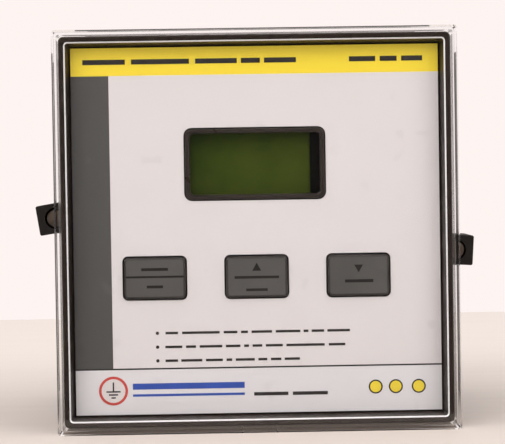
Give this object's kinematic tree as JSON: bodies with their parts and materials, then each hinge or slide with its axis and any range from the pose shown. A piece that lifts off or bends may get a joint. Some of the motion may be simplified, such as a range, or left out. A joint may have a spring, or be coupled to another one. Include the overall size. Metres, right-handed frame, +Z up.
{
  "type": "protection relay",
  "caption": "Flush-mounting protection relay: square black bezel under a clear push-on cover, display and push keys, moulded case with side screw clamps and rear barrier terminals.",
  "frame": {"origin": "middle of the relay's outer box at its lowest level, under the case", "axes": "+X to the relay's right as its front is seen, +Y backwards into the switchboard, +Z up"},
  "size_m": [0.1118, 0.1094, 0.0988],
  "materials": {
    "clear_cover": "clear polished polycarbonate",
    "black_abs": "fine satin moulding",
    "black_nylon": "grained moulding",
    "label": "printed polycarbonate sheet",
    "display_black": "satin moulding",
    "lcd_steel": "blackened sheet steel",
    "lcd_green": "display glass",
    "diffuser": "milky diffuser",
    "key_grey": "satin moulding",
    "switch_body": "moulded",
    "switch_plunger": "moulded",
    "board": "solder-masked laminate",
    "chip": "epoxy body with tinned legs",
    "plug_black": "moulded",
    "ribbon": "flat ribbon insulation",
    "core_steel": "stacked sheet steel",
    "bobbin": "moulded nylon",
    "copper": "enamelled copper wire",
    "relay_blue": "moulded",
    "capacitor": "sleeved can",
    "zinc_steel": "zinc plated",
    "jack_steel": "dulled steel screw",
    "brass": "punched brass"
  },
  "bodies": {
    "housing": {"front_frame": "black_abs", "front_label": "label", "display_frame": "display_black", "lcd_bezel": "lcd_steel", "lcd_glass": "lcd_green", "lcd_backlight": "diffuser", "tact_switch_left": "switch_body", "tact_switch_middle": "switch_body", "tact_switch_right": "switch_body", "front_board": "board", "microcontroller": "chip", "ribbon_plug_front": "plug_black", "ribbon_cable": "ribbon", "ribbon_plug_rear": "plug_black", "case_body": "black_abs", "rear_cover": "black_abs", "rear_screw_1": "zinc_steel", "rear_screw_2": "zinc_steel", "rear_screw_3": "zinc_steel", "rear_screw_4": "zinc_steel", "power_board": "board", "board_screw_1": "zinc_steel", "board_screw_2": "zinc_steel", "board_screw_3": "zinc_steel", "board_screw_4": "zinc_steel", "transformer_core": "core_steel", "transformer_bobbin": "bobbin", "transformer_winding": "copper", "output_relay_trip": "relay_blue", "output_relay_alarm": "relay_blue", "supply_capacitor": "capacitor", "terminal_strip_upper": "black_nylon", "terminal_strip_lower": "black_nylon", "terminal_1": "brass", "terminal_2": "brass", "terminal_3": "brass", "terminal_4": "brass", "terminal_5": "brass", "terminal_6": "brass", "terminal_7": "brass", "terminal_8": "brass", "terminal_9": "brass", "terminal_10": "brass", "terminal_11": "brass", "terminal_12": "brass"},
    "cover": {"transparent_cover": "clear_cover"},
    "left_key": {"key_left": "key_grey", "plunger_left": "switch_plunger"},
    "middle_key": {"key_middle": "key_grey", "plunger_middle": "switch_plunger"},
    "right_key": {"key_right": "key_grey", "plunger_right": "switch_plunger"},
    "left_clamp": {"clamp_left": "black_nylon"},
    "right_clamp": {"clamp_right": "black_nylon"},
    "left_jack": {"jack_screw_left": "jack_steel"},
    "right_jack": {"jack_screw_right": "jack_steel"}
  },
  "joints": [
    {"name": "cover_pull", "type": "slide", "parent": "housing", "child": "cover", "axis": [0, -1, 0], "range_m": [0, 0.012]},
    {"name": "left_key_press", "type": "slide", "parent": "housing", "child": "left_key", "axis": [0, 1, 0], "range_m": [0, 0.0006], "stiffness_N_per_m": 300},
    {"name": "middle_key_press", "type": "slide", "parent": "housing", "child": "middle_key", "axis": [0, 1, 0], "range_m": [0, 0.0006], "stiffness_N_per_m": 300},
    {"name": "right_key_press", "type": "slide", "parent": "housing", "child": "right_key", "axis": [0, 1, 0], "range_m": [0, 0.0006], "stiffness_N_per_m": 300},
    {"name": "left_clamp_slide", "type": "slide", "parent": "housing", "child": "left_clamp", "axis": [0, 1, 0], "range_m": [-0.0055, 0.05]},
    {"name": "right_clamp_slide", "type": "slide", "parent": "housing", "child": "right_clamp", "axis": [0, 1, 0], "range_m": [-0.0055, 0.05]},
    {"name": "left_jack_travel", "type": "slide", "parent": "left_clamp", "child": "left_jack", "axis": [0, -1, 0], "range_m": [-0.01, 0.0055]},
    {"name": "right_jack_travel", "type": "slide", "parent": "right_clamp", "child": "right_jack", "axis": [0, -1, 0], "range_m": [-0.01, 0.0055]}
  ]
}
